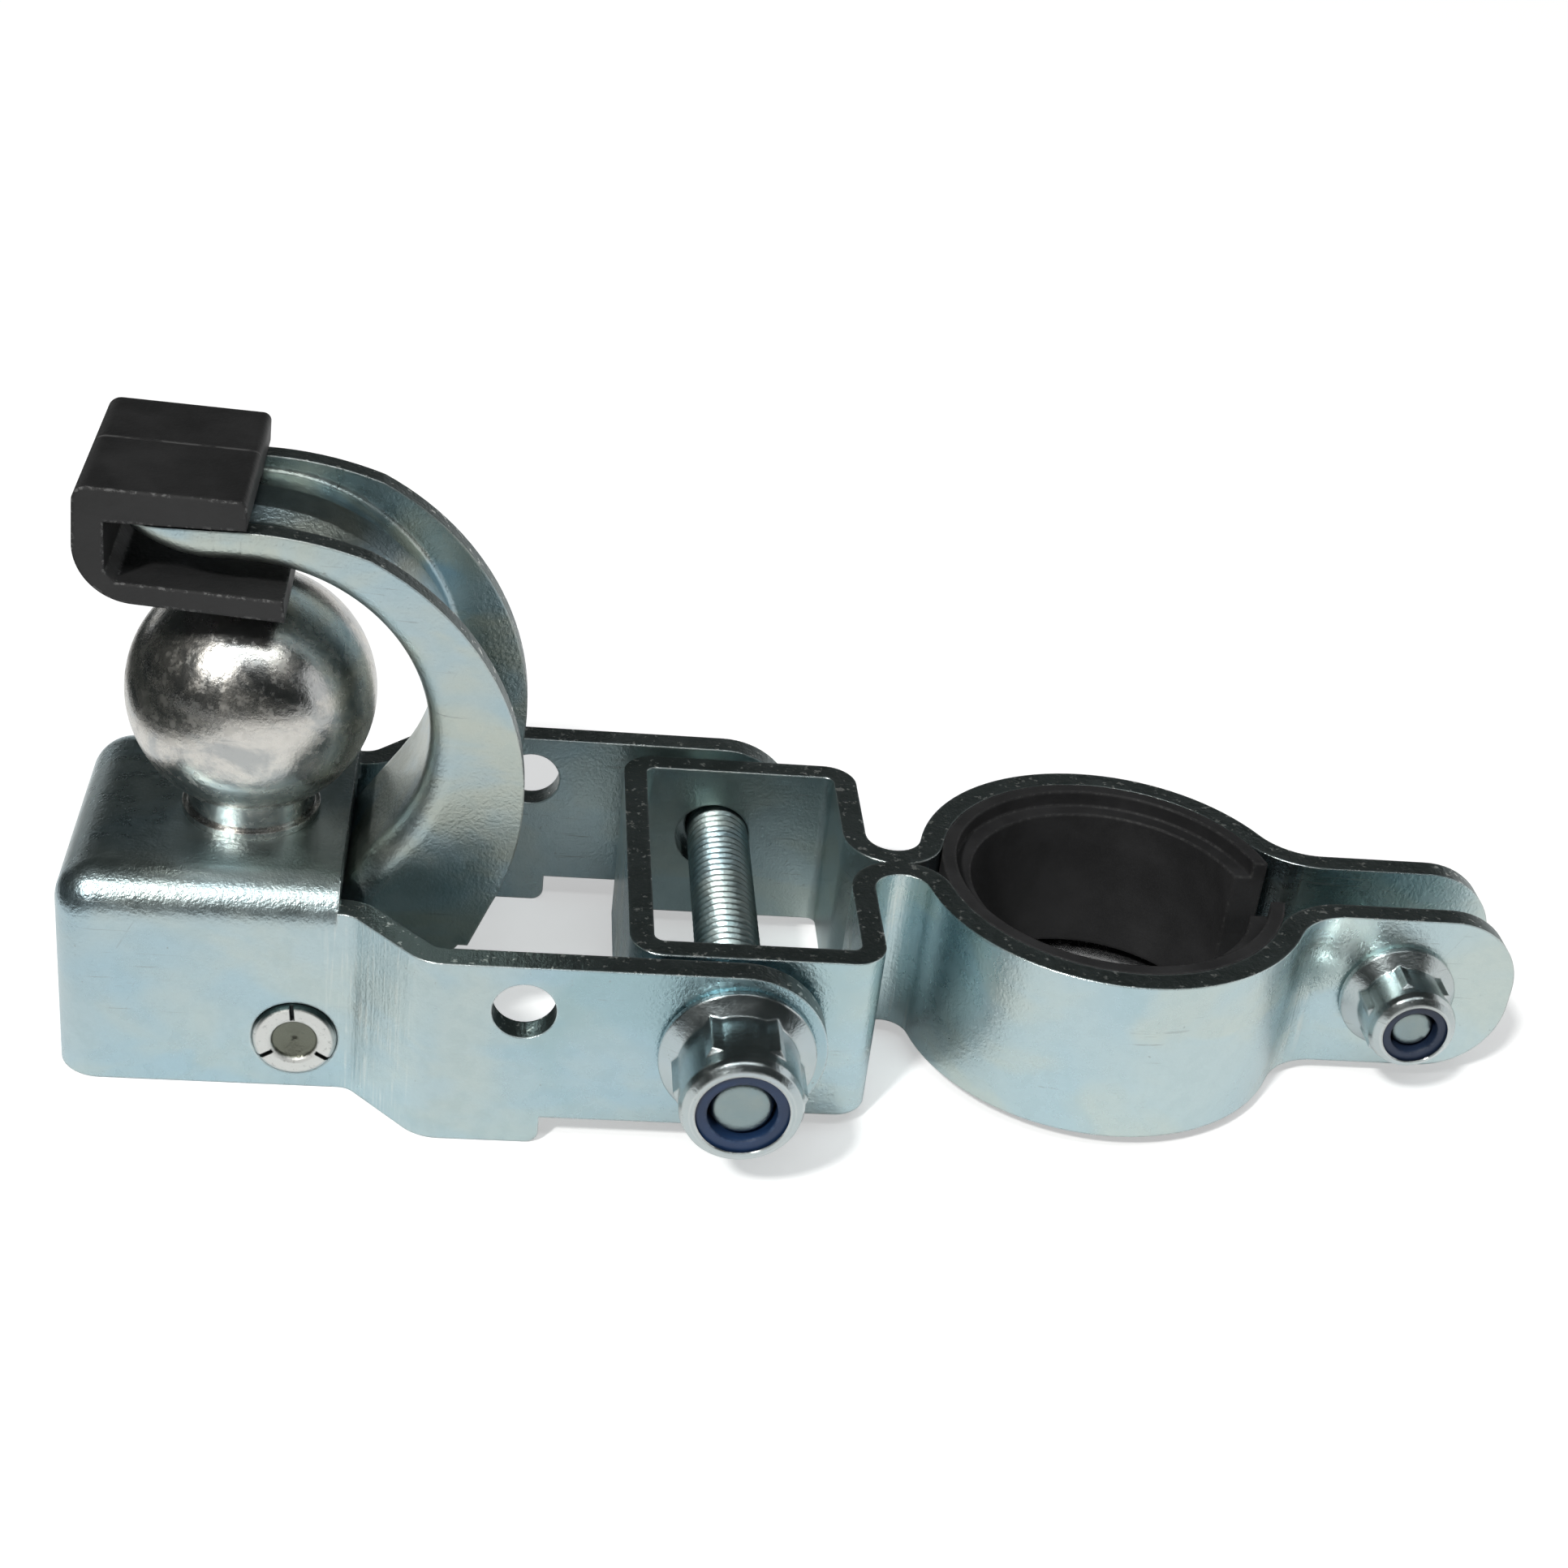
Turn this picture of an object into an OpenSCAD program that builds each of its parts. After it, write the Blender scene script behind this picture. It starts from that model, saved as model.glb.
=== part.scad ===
/* [Clamp strap] */
// Thickness of the clamp's strip
strap_t = 2.8; // [2.6:0.1:3]
// Height of the strip
strap_h = 21.5; // [20:0.5:23]
// Outside radius of the ring round the seat post
ring_r = 23.8; // [23.6:0.1:24.4]
// Clear gap between the two ears
ear_gap = 8; // [7:0.5:8.5]
// Distance from the post's axis to the ears' ends
ear_reach = 51; // [48:0.5:54]
// Corner radius of the ears' ends
ear_corner = 9.5; // [6:0.5:10]
// Outside radius of the sweep from the ring into an ear
ear_sweep = 8; // [7:0.5:9]
// Outside radius of the neck between ring and loop
neck_r = 3.4; // [3:0.1:3.8]
// Distance from the post's axis to the loop's far end
loop_reach = 59.3; // [58:0.1:60]
// Width of the loop over its outer faces
loop_w = 43.8; // [43.6:0.1:43.8]
// Outside corner radius of the loop
loop_corner = 4; // [3.5:0.1:5]

/* [Rubber liner] */
// Inside diameter that grips the post
post_d = 34.4; // [33:0.2:36]
// Depth of the thin lip at the upper end
lip_h = 2.1; // [1:0.1:7]
// Wall thickness of the lip
lip_t = 1.7; // [1.2:0.1:2]

/* [Base bracket] */
// Sheet thickness
sheet_t = 3; // [2.8:0.1:3]
// Width of the box over its outer faces
box_w = 36; // [35:0.5:37]
// Top of the plate that carries the ball
plate_z = 13.8; // [13.8:0.1:14.2]
// Depth of the box's lower edge below the datum
box_low = 12.9; // [12:0.1:14]
// Distance from the post's axis to the closed nose
nose_reach = 123.4; // [120:0.2:126]
// Outside bend radius of the box
bend_r = 5; // [4:0.1:5.5]
// Radius of the arms' round ends
arm_end_r = 10.3; // [9.6:0.1:10.3]
// Distance from the post's axis to the step in the arms' lower edge
notch_reach = 68.2; // [66:0.2:72]
// Diameter of the spare hole through both arms
spare_d = 7.2; // [6:0.2:7.4]

/* [Tow ball] */
// Ball diameter
ball_d = 28; // [27:0.5:28]
// Height of the ball's centre
ball_z = 29.4; // [29.4:0.1:29.8]
// Neck diameter
neck_d = 14.5; // [13:0.5:15]

/* [Latch lever] */
// Sheet thickness of the lever
lever_t = 2.4; // [2.2:0.1:2.6]
// Width of the lever over its flanges
lever_w = 22.6; // [22:0.2:22.8]
// Radius of the web's inner face round the ball's centre
web_r = 20.3; // [20.3:0.1:20.6]
// Radius of the flanges' free edge
flange_r = 32.5; // [31:0.5:33]
// Height of the stiffening bead on the web
bead_h = 1.2; // [0.8:0.1:1.3]
// Width of the cap
cap_w = 24; // [23.6:0.2:26]

/* [Fasteners] */
// Thread diameter of the tilt bolt as drawn
tilt_d = 7.9; // [7.8:0.1:8]
// Width across flats of the tilt bolt and nut
tilt_af = 13; // [12.8:0.1:13.2]
// Flange diameter of the tilt bolt and nut
tilt_flange = 17.9; // [17:0.1:18]
// Thread diameter of the clamp bolt as drawn
clamp_d = 5.9; // [5.8:0.1:6]
// Width across flats of the clamp bolt and nut
clamp_af = 10; // [9.8:0.1:10.2]
// Flange diameter of the clamp bolt and nut
clamp_flange = 14.2; // [13.6:0.1:14.4]

/* [Hidden] */
$fn = 96;
steel = [0.66, 0.69, 0.7];
dark_steel = [0.45, 0.5, 0.52];
black = [0.07, 0.07, 0.08];
lap = 0.12;

ring_rc = ring_r - strap_t / 2;
liner_r = ring_r - strap_t - 0.03;
ear_y = (ear_gap + strap_t) / 2;
sweep_rc = ear_sweep + strap_t / 2;
sweep_y = -(ear_y + sweep_rc);
sweep_x = sqrt(pow(ring_rc + sweep_rc, 2) - pow(sweep_y, 2));
neck_rc = neck_r + strap_t / 2;
neck_y = -(neck_rc + strap_t / 2 - 0.15);
neck_x = -sqrt(pow(ring_rc + neck_rc, 2) - pow(neck_y, 2));
loop_rc = loop_corner - strap_t / 2;
loop_right = neck_x - neck_rc;
loop_left = -(loop_reach - strap_t / 2);
loop_y = -(loop_w / 2 - strap_t / 2);

bolt_x = -46.6;
bolt_z = 1;
clamp_x = 36.3;
nose_x = -nose_reach;
plate_x = -91.8;
notch_x = -notch_reach;
arm_top = bolt_z + arm_end_r;
arm_low = bolt_z - arm_end_r;
arm_y = 23.5;
step_x = -91.5;
step_r = 4.2;
step_dy = arm_y + sheet_t / 2 - (box_w / 2 - sheet_t / 2);
step_len = (step_dy - 2 * step_r * (1 - cos(45))) / sin(45);
step_end = step_x + 2 * step_r * sin(45) + step_len * cos(45);
spare_x = -70.7;
spare_z = 5.4;

ball_x = -103.2;
pivot_x = -96.4;
pivot_z = -6.1;
rivet_r = 3.45;
lever_pivot = [pivot_x, pivot_z];
lug_r = 5.5;
web_low = 19.2;
web_top = 2.8;
tip_r = 14;
tip_a = 41;
web_bend = 3.2;
web_end = [
    ball_x + web_r * cos(35) - web_low * sin(35),
    ball_z - web_r * sin(35) - web_low * cos(35)
];

// Point where a line from p touches the circle c, r on the side s
function touch(p, c, r, s) =
    let (d = p - c, a = atan2(d[1], d[0]) + s * acos(r / norm(d)))
    c + r * [cos(a), sin(a)];

flange_c = [-104.5, 22.8];
brow_c = [-103, 14];
brow_r = 40;
flange_top = 53.98;
edge_z = 9;
edge_x = flange_c[0] + sqrt(pow(flange_r, 2) - pow(flange_c[1] - edge_z, 2));
lever_low = [-77.4, 3.3];
lug_low = touch(lever_low, lever_pivot, lug_r, -1);
lug_high = touch(web_end, lever_pivot, lug_r, 1);

// Sector from angle a0 to a1
module wedge(a0, a1, far) {
    polygon(concat(
        [[0, 0]],
        [for (i = [0:4]) far * [cos(a0 + (a1 - a0) * i / 4), sin(a0 + (a1 - a0) * i / 4)]]
    ));
}

// Curved strip with centreline radius r and thickness t, lapped a little at both ends
module arc_strip(r, t, a0, a1) {
    turn = lap / r * 180 / PI;
    intersection() {
        difference() {
            circle(r + t / 2);
            circle(r - t / 2);
        }
        wedge(a0 - turn, a1 + turn, 2 * r + 2 * t);
    }
}

// A flat profile in X and Z, spread evenly about Y = 0
module across(w) {
    rotate([90, 0, 0])
        linear_extrude(height = w, center = true)
            children();
}

// A round bar along Y between y0 and y1
module bar_y(x, z, r, y0, y1) {
    translate([x, y1, z])
        rotate([90, 0, 0])
            cylinder(r = r, h = y1 - y0);
}

// A revolved profile, its own Y laid along the object's Y
module turned_y(x, z, y) {
    translate([x, y, z])
        rotate([-90, 0, 0])
            rotate_extrude()
                children();
}

// The strap's near half in plan, from ear to loop
module strap_half() {
    translate([sweep_x, -ear_y - strap_t / 2])
        square([ear_reach - sweep_x, strap_t]);
    translate([sweep_x, sweep_y])
        arc_strip(sweep_rc, strap_t, 90, atan2(-sweep_y, -sweep_x));
    arc_strip(ring_rc, strap_t, atan2(neck_y, neck_x), atan2(sweep_y, sweep_x));
    translate([neck_x, neck_y])
        arc_strip(neck_rc, strap_t, atan2(-neck_y, -neck_x), 180);
    translate([loop_right - strap_t / 2, loop_y + loop_rc])
        square([strap_t, neck_y - loop_y - loop_rc]);
    translate([loop_right - loop_rc, loop_y + loop_rc])
        arc_strip(loop_rc, strap_t, -90, 0);
    translate([loop_left + loop_rc, loop_y - strap_t / 2])
        square([loop_right - loop_left - 2 * loop_rc, strap_t]);
    translate([loop_left + loop_rc, loop_y + loop_rc])
        arc_strip(loop_rc, strap_t, -180, -90);
    translate([loop_left - strap_t / 2, loop_y + loop_rc])
        square([strap_t, -loop_y - loop_rc]);
}

// The strap's outline from the side, with its rounded ears
module strap_side() {
    translate([-loop_reach - 1, -strap_h / 2])
        square([loop_reach + 1 + ear_reach - ear_corner, strap_h]);
    translate([ear_reach - ear_corner, -strap_h / 2 + ear_corner])
        square([ear_corner, strap_h - 2 * ear_corner]);
    for (s = [-1, 1])
        translate([ear_reach - ear_corner, s * (strap_h / 2 - ear_corner)])
            circle(ear_corner);
}

module clamp_strap() {
    color(steel)
    difference() {
        intersection() {
            linear_extrude(height = strap_h, center = true) {
                strap_half();
                mirror([0, 1])
                    strap_half();
            }
            across(loop_w + 10)
                strap_side();
        }
        bar_y(clamp_x, 0, 3.2, -10, 10);
        bar_y(bolt_x - 0.68, bolt_z, 4.7, -30, 30);
    }
}

module rubber_liner() {
    color(black)
    difference() {
        cylinder(r = liner_r, h = strap_h, center = true);
        cylinder(r = post_d / 2, h = strap_h + 2, center = true);
        translate([0, 0, strap_h / 2 - lip_h])
            cylinder(r = liner_r - lip_t, h = lip_h + 1);
        translate([0, -ear_gap / 2 - 0.3, -strap_h])
            cube([40, ear_gap + 0.6, 2 * strap_h]);
    }
}

// A block with rounded nose and top edges, open towards +X and -Z
module soft_box(x0, x1, w, z0, z1, r) {
    y = w / 2 - r;
    translate([x0 + r, -w / 2, z0])
        cube([x1 - x0 - r, w, z1 - r - z0]);
    translate([x0, -y, z0])
        cube([x1 - x0, 2 * y, z1 - r - z0]);
    translate([x0 + r, -y, z0])
        cube([x1 - x0 - r, 2 * y, z1 - z0]);
    bar_y(x0 + r, z1 - r, r, -y, y);
    for (s = [-1, 1]) {
        translate([x0 + r, s * y, z0])
            cylinder(r = r, h = z1 - r - z0);
        translate([x0 + r, s * y, z1 - r])
            sphere(r);
        translate([x0 + r, s * y, z1 - r])
            rotate([0, 90, 0])
                cylinder(r = r, h = x1 - x0 - r);
    }
}

// The near wall in plan, where it steps outwards into the arm
module arm_plan() {
    y0 = -(box_w / 2 - sheet_t / 2);
    y1 = -(arm_y + sheet_t / 2);
    translate([plate_x - lap, y0 - sheet_t / 2])
        square([step_x - plate_x + lap, sheet_t]);
    translate([step_x, y0 - step_r])
        arc_strip(step_r, sheet_t, 45, 90);
    translate([step_x + step_r * sin(45), y0 - step_r * (1 - cos(45))])
        rotate(-45)
            translate([0, -sheet_t / 2])
                square([step_len, sheet_t]);
    translate([step_end, y1 + step_r])
        arc_strip(step_r, sheet_t, -135, -90);
    translate([step_end, y1 - sheet_t / 2])
        square([bolt_x + arm_end_r - step_end, sheet_t]);
}

// The arms' outline from the side
module arm_side() {
    r = 1.5;
    translate([plate_x - 1, -box_low + r])
        square([notch_x - plate_x + 1, arm_top + box_low - r]);
    translate([plate_x - 1, -box_low])
        square([notch_x - r - plate_x + 1, 2 * r]);
    translate([notch_x - r, -box_low + r])
        circle(r);
    translate([notch_x - 1, arm_low])
        square([bolt_x - notch_x + 1, arm_top - arm_low]);
    translate([bolt_x, bolt_z])
        circle(arm_end_r);
}

module base_bracket() {
    color(steel)
    difference() {
        union() {
            soft_box(nose_x, plate_x, box_w, -box_low, plate_z, bend_r);
            intersection() {
                translate([0, 0, -box_low])
                    linear_extrude(height = arm_top + box_low) {
                        arm_plan();
                        mirror([0, 1])
                            arm_plan();
                    }
                across(70)
                    arm_side();
            }
        }
        soft_box(
            nose_x + sheet_t, plate_x + 0.3, box_w - 2 * sheet_t,
            -box_low - 5, plate_z - sheet_t, bend_r - sheet_t
        );
        translate([ball_x, 0, 0])
            cylinder(r = 6.01, h = 20);
        bar_y(pivot_x, pivot_z, 3.47, -30, 30);
        for (s = [0, 1])
            mirror([0, s])
                turned_y(pivot_x, pivot_z, -box_w / 2)
                    polygon([[0, -1], [6, -1], [5, 0], [3.47, 1.53], [0, 1.53]]);
        bar_y(bolt_x, bolt_z, 4.05, -30, 30);
        bar_y(spare_x, spare_z, spare_d / 2, -30, 30);
    }
}

module tow_ball() {
    color(steel)
    translate([ball_x, 0, 0])
        rotate_extrude() {
            intersection() {
                translate([0, ball_z])
                    circle(ball_d / 2);
                translate([0, ball_z - ball_d])
                    square([ball_d, 2 * ball_d]);
            }
            translate([0, plate_z])
                square([neck_d / 2, ball_z - plate_z]);
            translate([0, plate_z])
                square([neck_d / 2 + 0.6, 0.9]);
            translate([0, plate_z - sheet_t])
                square([6, sheet_t]);
            intersection() {
                translate([0, plate_z - sheet_t])
                    circle(r = 7.6);
                translate([0, plate_z - sheet_t - 2.2])
                    square([8, 2.2]);
            }
        }
}

module pivot_rivet() {
    w = box_w / 2;
    color(steel)
    difference() {
        turned_y(pivot_x, pivot_z, 0)
            polygon([
                [0, -w + 0.5], [2.45, -w - 0.15], [2.7, -w - 0.5], [3.1, -w - 0.65], [4.3, -w - 0.62],
                [4.65, -w - 0.3], [4.78, -w + 0.15], [rivet_r, -w + 1.48], [rivet_r, w - 1.48],
                [4.78, w - 0.15], [4.65, w + 0.3], [4.3, w + 0.62], [3.1, w + 0.65], [2.7, w + 0.5],
                [2.45, w + 0.15], [0, w - 0.5]
            ]);
        for (s = [-1, 1], a = [94, 212, 328])
            translate([pivot_x, s * w, pivot_z])
                rotate([0, -a, 0])
                    translate([2.9, s * 0.6 - 0.55, -0.2])
                        cube([4, 1.1, 0.4]);
    }
}

module spacer(s) {
    y0 = lever_w / 2 + 0.04;
    y1 = box_w / 2 - sheet_t - 0.02;
    color(dark_steel)
    scale([1, s, 1])
    difference() {
        bar_y(pivot_x, pivot_z, 5.2, y0, y1);
        bar_y(pivot_x, pivot_z, rivet_r + 0.03, 0, 20);
    }
}

module pivot_spacer_near() {
    spacer(-1);
}

module pivot_spacer_far() {
    spacer(1);
}

module latch_spring() {
    wire = 0.8;
    coil = rivet_r + wire + 0.04;
    color(dark_steel) {
        turned_y(pivot_x, pivot_z, 0)
            for (i = [-3:3])
                translate([coil, 1.5 * i])
                    circle(wire);
        translate([pivot_x - coil, 4.5, pivot_z])
            cylinder(r = wire - 0.1, h = 14.6);
        translate([pivot_x + coil, -4.5, pivot_z])
            cylinder(r = wire - 0.1, h = 10.4);
    }
}

// Section of the pressed channel, its web on the left
module soft_channel(x0, x1, w, r) {
    translate([x0 + r, -w / 2])
        square([x1 - x0 - r, w]);
    translate([x0, -w / 2 + r])
        square([r + 1, w - 2 * r]);
    intersection() {
        for (s = [-1, 1])
            translate([x0 + r, s * (w / 2 - r)])
                circle(r);
        translate([x0, -w / 2])
            square([r + 0.1, w]);
    }
}

// The channel's section, drawn in by e on every side
module channel(e) {
    difference() {
        soft_channel(web_r + e, web_r + 4.2, lever_w - 2 * e, web_bend);
        soft_channel(web_r + lever_t - e, web_r + 6, lever_w - 2 * lever_t + 2 * e, web_bend - lever_t);
    }
}

// The bead's section, drawn in by e on every side
module bead(e) {
    foot = web_r + lever_t - 0.5;
    top = web_r + lever_t + bead_h - e;
    polygon([[foot, e - 5.2], [top, e - 2.6], [top, 2.6 - e], [foot, 5.2 - e]]);
}

// Sweeps two sections along the web's path round the ball: the first on the arc, the second on the straights
module web_path(low) {
    translate([ball_x, 0, ball_z])
        rotate([90, 0, 0]) {
            rotate([0, 0, -35])
                rotate_extrude(angle = 125)
                    children(0);
            rotate([0, 0, -35])
                translate([0, 4 * lap, 0])
                    rotate([90, 0, 0])
                        linear_extrude(height = low + 4 * lap)
                            children(1);
            rotate([0, 0, 90])
                translate([0, web_top + 4 * lap, 0])
                    rotate([90, 0, 0])
                        linear_extrude(height = web_top + 8 * lap)
                            children(1);
        }
}

// The flanges' outline from the side, beyond the bend of the web
module flange_side() {
    inner = web_r + web_bend + 0.1;
    difference() {
        union() {
            intersection() {
                translate(flange_c)
                    circle(flange_r);
                union() {
                    translate(brow_c)
                        circle(brow_r);
                    translate([-160, -20])
                        square([160 + brow_c[0], flange_top + 20]);
                }
            }
            polygon([[edge_x, edge_z], lever_low, lever_low + [-8, 0], [edge_x - 8, edge_z]]);
        }
        translate([ball_x, ball_z])
            circle(inner);
        translate([ball_x, ball_z])
            rotate(-35)
                translate([-60, -60])
                    square([60 + inner, 60]);
        translate([-160, 20])
            square([160 + ball_x, ball_z + inner - 20]);
        translate([-160, 20])
            square([160 + ball_x - web_top - lap, 40]);
        polygon([
            [-60, lever_low[1]], lever_low, lug_low, lug_low + 3 * (lug_low - lever_low),
            [-200, -100], [-60, -100]
        ]);
    }
    polygon([lug_low, lever_pivot, lug_high, web_end, web_end + [3.4, -1.2], [-88, -2.5]]);
    translate(lever_pivot)
        circle(lug_r);
}

// The web's turned-up tip
module tip() {
    translate([ball_x - web_top, 0, ball_z + web_r + tip_r])
        rotate([90, 0, 0])
            rotate([0, 0, -90 - tip_a])
                rotate_extrude(angle = tip_a)
                    intersection() {
                        union() {
                            translate([tip_r + web_r, 0])
                                mirror([1, 0])
                                    channel(0);
                            for (s = [-1, 1])
                                translate([5, s * (lever_w - lever_t) / 2 - lever_t / 2])
                                    square([tip_r - 9, lever_t]);
                        }
                        translate([5, 0.03 - lever_w / 2])
                            square([tip_r, lever_w - 0.06]);
                    }
}

module latch_lever() {
    color(steel)
    difference() {
        union() {
            web_path(web_low) {
                channel(0);
                channel(0.03);
            }
            web_path(4) {
                bead(0);
                bead(0.03);
            }
            difference() {
                tip();
                translate([-130, -20, flange_top - 0.03])
                    cube([30, 40, 15]);
            }
            difference() {
                across(lever_w)
                    flange_side();
                across(lever_w - 2 * lever_t)
                    translate([-130, -20])
                        square([80, 80]);
            }
        }
        bar_y(pivot_x, pivot_z, rivet_r + 0.05, -20, 20);
    }
}

// The cap's outline from the side
module cap_side() {
    difference() {
        translate([-120.4, 51.9])
            rotate(-2) {
                polygon([
                    [0, 0], [0, 4.9], [1.6, 6.5], [16.9, 6.5], [17.8, 5.6], [17.8, 2.6],
                    [21.9, -4.5], [22.1, -7], [6.5, -6.5]
                ]);
                translate([1.6, 4.9])
                    circle(1.6);
                translate([16.9, 5.6])
                    circle(0.9);
                intersection() {
                    translate([6.5, 0])
                        circle(6.5);
                    translate([-1, -7])
                        square([7.6, 7.1]);
                }
            }
        polygon([
            [-117.1, 54.5], [-90, 54.5], [-90, 46.05], [-98.7, 46.6], [-116, 47.6], [-117.1, 48.8]
        ]);
    }
}

module lever_cap() {
    color(black) {
        across(cap_w)
            cap_side();
        for (s = [-1, 1])
            translate([-105.9, s * 7.2 - 1.2, ball_z + web_r + lever_t + 0.02])
                cube([3, 2.4, 3.5]);
    }
}

// A flanged hex bolt: shank from the origin towards +Y for a length, head behind it
module flange_bolt(d, af, flange, head, length) {
    r = af / 2 / cos(30);
    difference() {
        union() {
            rotate([-90, 0, 0])
                cylinder(r = d / 2, h = length);
            turned_y(0, 0, 0)
                polygon([
                    [0, 0], [flange / 2 - 0.4, 0], [flange / 2, -0.4],
                    [flange / 2, -1.1], [af / 2, -2.6], [0, -2.6]
                ]);
            intersection() {
                rotate([90, 0, 0])
                    linear_extrude(height = head)
                        circle(r, $fn = 6);
                turned_y(0, 0, 0)
                    polygon([[0, 0], [r + 1, 0], [r + 1, -head + 1], [r - 1, -head], [0, -head]]);
            }
        }
        turned_y(0, 0, length)
            polygon([[d / 2 - 0.8, 0.1], [d / 2 + 0.1, -0.8], [d / 2 + 1, 1]]);
    }
}

// A flanged lock nut with a rolled collar, seated at y = 0 and rising towards -Y
module lock_nut(d, af, flange, collar, hex_h, height, ring_r, ring_d, turn) {
    r = af / 2 / cos(30);
    difference() {
        union() {
            turned_y(0, 0, 0)
                polygon([
                    [0, 0], [flange / 2 - 0.4, 0], [flange / 2, -0.4],
                    [flange / 2, -1.1], [af / 2, -2.8], [0, -2.8]
                ]);
            intersection() {
                rotate([90, turn, 0])
                    linear_extrude(height = hex_h)
                        circle(r, $fn = 6);
                turned_y(0, 0, 0)
                    polygon([[0, 0], [r + 1, 0], [r + 1, -hex_h + 1.3], [collar, -hex_h], [0, -hex_h]]);
            }
            turned_y(0, 0, 0)
                polygon([
                    [0, 0], [collar, 0], [collar, -height + 1.4], [collar - 0.3, -height + 0.6],
                    [collar - 1.1, -height], [0, -height]
                ]);
        }
        turned_y(0, 0, 0)
            polygon([
                [0, 1], [d / 2 + 0.02, 1], [d / 2 + 0.02, -height + ring_d + 0.3],
                [ring_r + 0.5, -height + ring_d + 0.3], [ring_r + 0.5, -height + 0.5],
                [ring_r, -height - 0.01], [ring_r, -height - 1], [0, -height - 1]
            ]);
    }
}

// The nylon ring inside a lock nut, its bore stepped where the bolt's end has entered it
module nylon_ring(d, height, ring_r, ring_d, bore, bolt_end) {
    turned_y(0, 0, 0)
        polygon([
            [d / 2 + 0.02, -height + ring_d + 0.28], [ring_r + 0.48, -height + ring_d + 0.28],
            [ring_r + 0.48, -height + 0.52], [ring_r - 0.1, -height + 0.35], [bore, -height + 0.35],
            [bore, -bolt_end - 0.02], [d / 2 + 0.02, -bolt_end - 0.02]
        ]);
}

module washer(y) {
    color(dark_steel)
    difference() {
        bar_y(bolt_x, bolt_z, 8, y - 0.78, y + 0.78);
        bar_y(bolt_x, bolt_z, 4.05, -30, 30);
    }
}

module tilt_washer_near() {
    washer(-(loop_w / 2 + arm_y) / 2);
}

module tilt_washer_far() {
    washer((loop_w / 2 + arm_y) / 2);
}

module tilt_bolt() {
    color(steel)
    translate([bolt_x, arm_y + sheet_t, bolt_z])
        rotate([0, 0, 180])
            flange_bolt(tilt_d, tilt_af, tilt_flange, 5.6, 62.7);
}

module tilt_nut() {
    color(steel)
    translate([bolt_x, -arm_y - sheet_t, bolt_z])
        lock_nut(tilt_d, tilt_af, tilt_flange, 6.95, 8.2, 11.1, 5.2, 3.4, 0);
}

module tilt_nut_nylon_ring() {
    color([0.15, 0.3, 0.6])
    translate([bolt_x, -arm_y - sheet_t, bolt_z])
        nylon_ring(tilt_d, 11.1, 5.2, 3.4, 3.9, 9.7);
}

module clamp_bolt() {
    color(steel)
    translate([clamp_x, ear_y + strap_t / 2, 0])
        rotate([0, 0, 180])
            flange_bolt(clamp_d, clamp_af, clamp_flange, 6, 20.7);
}

module clamp_nut() {
    color(steel)
    translate([clamp_x, -ear_y - strap_t / 2, 0])
        lock_nut(clamp_d, clamp_af, clamp_flange, 5.35, 6.3, 8.6, 3.95, 2.6, 15);
}

module clamp_nut_nylon_ring() {
    color([0.1, 0.15, 0.35])
    translate([clamp_x, -ear_y - strap_t / 2, 0])
        nylon_ring(clamp_d, 8.6, 3.95, 2.6, 2.9, 7.1);
}

base_bracket();
tow_ball();
pivot_rivet();
pivot_spacer_near();
pivot_spacer_far();
latch_spring();
tilt_bolt();
tilt_nut();
tilt_nut_nylon_ring();
tilt_washer_near();
tilt_washer_far();
latch_lever();
lever_cap();
clamp_strap();
rubber_liner();
clamp_bolt();
clamp_nut();
clamp_nut_nylon_ring();
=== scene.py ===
"""Dressed scene of a bicycle trailer hitch: a zinc bracket with tow ball, latch lever and seat-post clamp."""

import logging
import math
from dataclasses import dataclass, field
from enum import Enum

import bmesh
import bpy
from mathutils import Matrix, Vector


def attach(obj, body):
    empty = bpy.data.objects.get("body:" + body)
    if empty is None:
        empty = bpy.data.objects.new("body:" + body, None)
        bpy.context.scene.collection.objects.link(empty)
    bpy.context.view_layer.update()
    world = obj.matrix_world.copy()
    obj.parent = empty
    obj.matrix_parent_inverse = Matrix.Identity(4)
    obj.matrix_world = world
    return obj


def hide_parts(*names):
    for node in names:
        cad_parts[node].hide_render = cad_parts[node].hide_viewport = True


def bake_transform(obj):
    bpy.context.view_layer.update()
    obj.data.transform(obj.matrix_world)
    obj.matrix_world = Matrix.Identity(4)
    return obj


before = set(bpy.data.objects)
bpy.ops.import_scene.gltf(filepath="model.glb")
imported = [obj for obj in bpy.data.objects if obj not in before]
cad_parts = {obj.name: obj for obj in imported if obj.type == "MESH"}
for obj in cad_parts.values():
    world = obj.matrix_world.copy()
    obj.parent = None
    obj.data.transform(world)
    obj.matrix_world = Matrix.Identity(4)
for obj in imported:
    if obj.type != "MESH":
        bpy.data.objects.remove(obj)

LOG = logging.getLogger("hitch")
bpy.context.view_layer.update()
MM = 0.001
Colour = tuple[float, float, float]
Point = tuple[float, float, float]
Socket = bpy.types.NodeSocket

# Where the sheared edges lie on the bracket and the lever
ARM_FROM_X = -91.9 * MM
RIM_BELOW_Z = -12.85 * MM
FLANGE_PAST_Y = 8.85 * MM
LEVER_CENTRE = (-103.2 * MM, 0.0, 29.4 * MM)
LEVER_OUTER_R = 26.2 * MM

# The cap's mould line, and the slant of some scratches in radians
SEAM_Y = 1.3 * MM
SEAM_WIDE = 0.3 * MM
SEAM_NARROW = 0.08 * MM
SCRATCH_SLANT = 1.05


class Cut(Enum):
    """Where a pressed piece shows its sheared edge."""

    NONE = "none"
    STRAP = "strap"
    BRACKET = "bracket"
    LEVER = "lever"


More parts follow.
